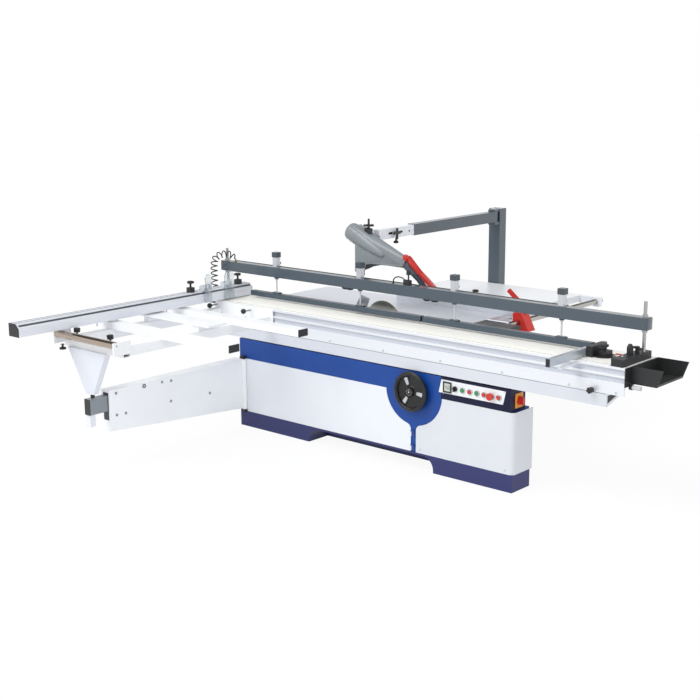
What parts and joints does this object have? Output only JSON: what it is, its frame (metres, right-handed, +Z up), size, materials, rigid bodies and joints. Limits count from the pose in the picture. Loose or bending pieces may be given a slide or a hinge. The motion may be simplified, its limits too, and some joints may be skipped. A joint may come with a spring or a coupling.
{
  "type": "sliding table saw",
  "caption": "Sliding table panel saw with crosscut outrigger and swinging support arm, overhead guard, rip fence and air clamping beam.",
  "frame": {"origin": "centre of the floor bolt pattern, on the floor", "axes": "+Z up, +X along the table travel towards the operator's end, +Y from the sliding table to the rip side"},
  "size_m": [3.61, 3.615, 1.471],
  "materials": {
    "navy_paint": "satin",
    "blue_paint": "satin",
    "pale_paint": "satin",
    "slate_paint": "satin",
    "grey_sheet": "satin",
    "grey_plastic": "matte",
    "iron": "ground",
    "alloy": "anodised",
    "steel": "brushed",
    "chrome": "polished",
    "black_plastic": "matte",
    "red_plastic": "gloss",
    "green_plastic": "gloss",
    "clear_plastic": "clear",
    "hose": "matte"
  },
  "bodies": {
    "base": {"plinth": "navy_paint", "cabinet_shell": "blue_paint", "right_cover": "pale_paint", "saw_housing": "pale_paint", "main_table": "iron", "extension_table": "pale_paint", "table_brackets": "pale_paint", "guard_post": "slate_paint", "slide_rail": "alloy", "rail_end_caps": "black_plastic", "guide_bar": "chrome", "control_box": "navy_paint", "control_fascia": "alloy", "hinge_lugs": "black_plastic"},
    "door": {"access_door": "pale_paint"},
    "table": {"sliding_table": "alloy", "table_fittings": "black_plastic", "end_tray": "black_plastic", "press_beam": "slate_paint", "beam_posts": "steel", "air_cylinders": "alloy", "air_line": "black_plastic", "curly_hose": "hose", "outrigger_frame": "pale_paint", "outrigger_fittings": "black_plastic", "support_bracket": "pale_paint"},
    "roller": {"support_roller": "chrome"},
    "press_left": {"press_bar_left": "slate_paint"},
    "press_right": {"press_bar_right": "slate_paint"},
    "mitre": {"mitre_fence": "alloy", "protractor": "black_plastic"},
    "fence": {"crosscut_fence": "alloy", "fence_fittings": "black_plastic"},
    "stop_outer": {"flip_stop_outer": "clear_plastic"},
    "stop_inner": {"flip_stop_inner": "clear_plastic"},
    "arm": {"swing_arm": "pale_paint"},
    "arm_inner": {"arm_tube": "grey_sheet"},
    "tilt": {"saw_frame": "iron"},
    "scorer": {"scoring_blade": "steel"},
    "lift": {"lift_unit": "slate_paint", "riving_knife": "steel", "main_motor": "slate_paint", "drive_belt": "hose"},
    "motor_shaft": {"motor_pulley": "steel"},
    "blade": {"main_blade": "steel"},
    "wheel": {"handwheel": "black_plastic"},
    "guard": {"guard_arm": "slate_paint"},
    "guard_reach": {"guard_slide": "pale_paint"},
    "hood": {"guard_hood": "grey_plastic", "hood_deflector": "red_plastic"},
    "rip": {"rip_fence": "alloy"},
    "rip_clamp": {"rip_lever": "red_plastic"},
    "selector": {"selector": "black_plastic"},
    "start": {"start_button": "green_plastic"},
    "stop": {"stop_button": "red_plastic"},
    "scoring_on": {"scoring_start": "green_plastic"},
    "scoring_off": {"scoring_stop": "red_plastic"},
    "emergency": {"emergency_stop": "red_plastic"},
    "reset": {"reset_button": "red_plastic"},
    "isolator": {"isolator_knob": "red_plastic"}
  },
  "joints": [
    {"name": "table_slide", "type": "slide", "parent": "base", "child": "table", "axis": [1, 0, 0], "range_m": [-1.5, 1.25]},
    {"name": "door_hinge", "type": "hinge", "parent": "base", "child": "door", "pos_m": [0.387, -0.436, 0.3], "axis": [0, 0, 1], "range_deg": [0, 100]},
    {"name": "arm_swing", "type": "hinge", "parent": "base", "child": "arm", "pos_m": [-1.088, -0.436, 0.3], "axis": [0, 0, 1], "range_deg": [-66.5, 55.5]},
    {"name": "arm_extend", "type": "slide", "parent": "arm", "child": "arm_inner", "axis": [0, -1, 0], "range_m": [0, 0.5]},
    {"name": "roller_spin", "type": "hinge", "parent": "table", "child": "roller", "pos_m": [-1.08, -1.755, 0.834], "axis": [1, 0, 0], "continuous": true},
    {"name": "press_left_stroke", "type": "slide", "parent": "table", "child": "press_left", "axis": [0, 0, 1], "range_m": [-0.015, 0.035]},
    {"name": "press_right_stroke", "type": "slide", "parent": "table", "child": "press_right", "axis": [0, 0, 1], "range_m": [-0.015, 0.035]},
    {"name": "mitre_swivel", "type": "hinge", "parent": "table", "child": "mitre", "pos_m": [1.6, -0.24, 0.86], "axis": [0, 0, 1], "range_deg": [-45, 0]},
    {"name": "fence_swivel", "type": "hinge", "parent": "table", "child": "fence", "pos_m": [-1.3485, -0.23, 0.86], "axis": [0, 0, 1], "range_deg": [0, 45]},
    {"name": "stop_outer_flip", "type": "hinge", "parent": "fence", "child": "stop_outer", "pos_m": [-1.286, -0.565, 0.99], "axis": [0, -1, 0], "range_deg": [0, 80]},
    {"name": "stop_inner_flip", "type": "hinge", "parent": "fence", "child": "stop_inner", "pos_m": [-1.286, -0.368, 0.99], "axis": [0, -1, 0], "range_deg": [0, 80]},
    {"name": "saw_tilt", "type": "hinge", "parent": "base", "child": "tilt", "pos_m": [-0.157, -0.048, 0.86], "axis": [-1, 0, 0], "range_deg": [0, 45]},
    {"name": "saw_lift", "type": "slide", "parent": "tilt", "child": "lift", "axis": [0, 0, 1], "range_m": [-0.086, 0.004]},
    {"name": "blade_spin", "type": "hinge", "parent": "lift", "child": "blade", "pos_m": [-0.157, -0.048, 0.791], "axis": [0, 1, 0], "continuous": true},
    {"name": "motor_spin", "type": "hinge", "parent": "lift", "child": "motor_shaft", "pos_m": [-0.06, 0.085, 0.59], "axis": [0, 1, 0], "continuous": true},
    {"name": "scoring_spin", "type": "hinge", "parent": "tilt", "child": "scorer", "pos_m": [0.078, -0.048, 0.802], "axis": [0, 1, 0], "continuous": true},
    {"name": "wheel_turn", "type": "hinge", "parent": "base", "child": "wheel", "pos_m": [0.402, -0.47, 0.498], "axis": [0, 1, 0], "range_deg": [-1, 1441]},
    {"name": "guard_swing", "type": "hinge", "parent": "base", "child": "guard", "pos_m": [-0.27, 1.355, 1.36], "axis": [0, 0, 1], "range_deg": [0, 80]},
    {"name": "guard_extend", "type": "slide", "parent": "guard", "child": "guard_reach", "axis": [0, 1, 0], "range_m": [-0.02, 0.14]},
    {"name": "hood_height", "type": "slide", "parent": "guard_reach", "child": "hood", "axis": [0, 0, 1], "range_m": [-0.12, 0.03]},
    {"name": "rip_slide", "type": "slide", "parent": "base", "child": "rip", "axis": [0, 1, 0], "range_m": [-0.148, 0.88]},
    {"name": "rip_clamp_turn", "type": "hinge", "parent": "rip", "child": "rip_clamp", "pos_m": [0.616, 0.41, 0.88], "axis": [0, 1, 0], "range_deg": [0, 45]},
    {"name": "selector_turn", "type": "hinge", "parent": "base", "child": "selector", "pos_m": [0.72, -0.43, 0.563], "axis": [0, 1, 0], "range_deg": [-45, 45]},
    {"name": "isolator_turn", "type": "hinge", "parent": "base", "child": "isolator", "pos_m": [1.12, -0.348, 0.545], "axis": [1, 0, 0], "range_deg": [0, 90]},
    {"name": "start_press", "type": "slide", "parent": "base", "child": "start", "axis": [0, 1, 0], "range_m": [0, 0.004], "stiffness_N_per_m": 400},
    {"name": "stop_press", "type": "slide", "parent": "base", "child": "stop", "axis": [0, 1, 0], "range_m": [0, 0.004], "stiffness_N_per_m": 400},
    {"name": "scoring_on_press", "type": "slide", "parent": "base", "child": "scoring_on", "axis": [0, 1, 0], "range_m": [0, 0.004], "stiffness_N_per_m": 400},
    {"name": "scoring_off_press", "type": "slide", "parent": "base", "child": "scoring_off", "axis": [0, 1, 0], "range_m": [0, 0.004], "stiffness_N_per_m": 400},
    {"name": "emergency_press", "type": "slide", "parent": "base", "child": "emergency", "axis": [0, 1, 0], "range_m": [0, 0.004]},
    {"name": "reset_press", "type": "slide", "parent": "base", "child": "reset", "axis": [0, 1, 0], "range_m": [0, 0.004], "stiffness_N_per_m": 400}
  ],
  "couplings": [
    {"joint": "arm_swing", "follows": "table_slide", "rad_per_m": 0.77},
    {"joint": "motor_spin", "follows": "blade_spin", "ratio": 0.66667},
    {"joint": "wheel_turn", "follows": "saw_tilt", "ratio": 32}
  ]
}
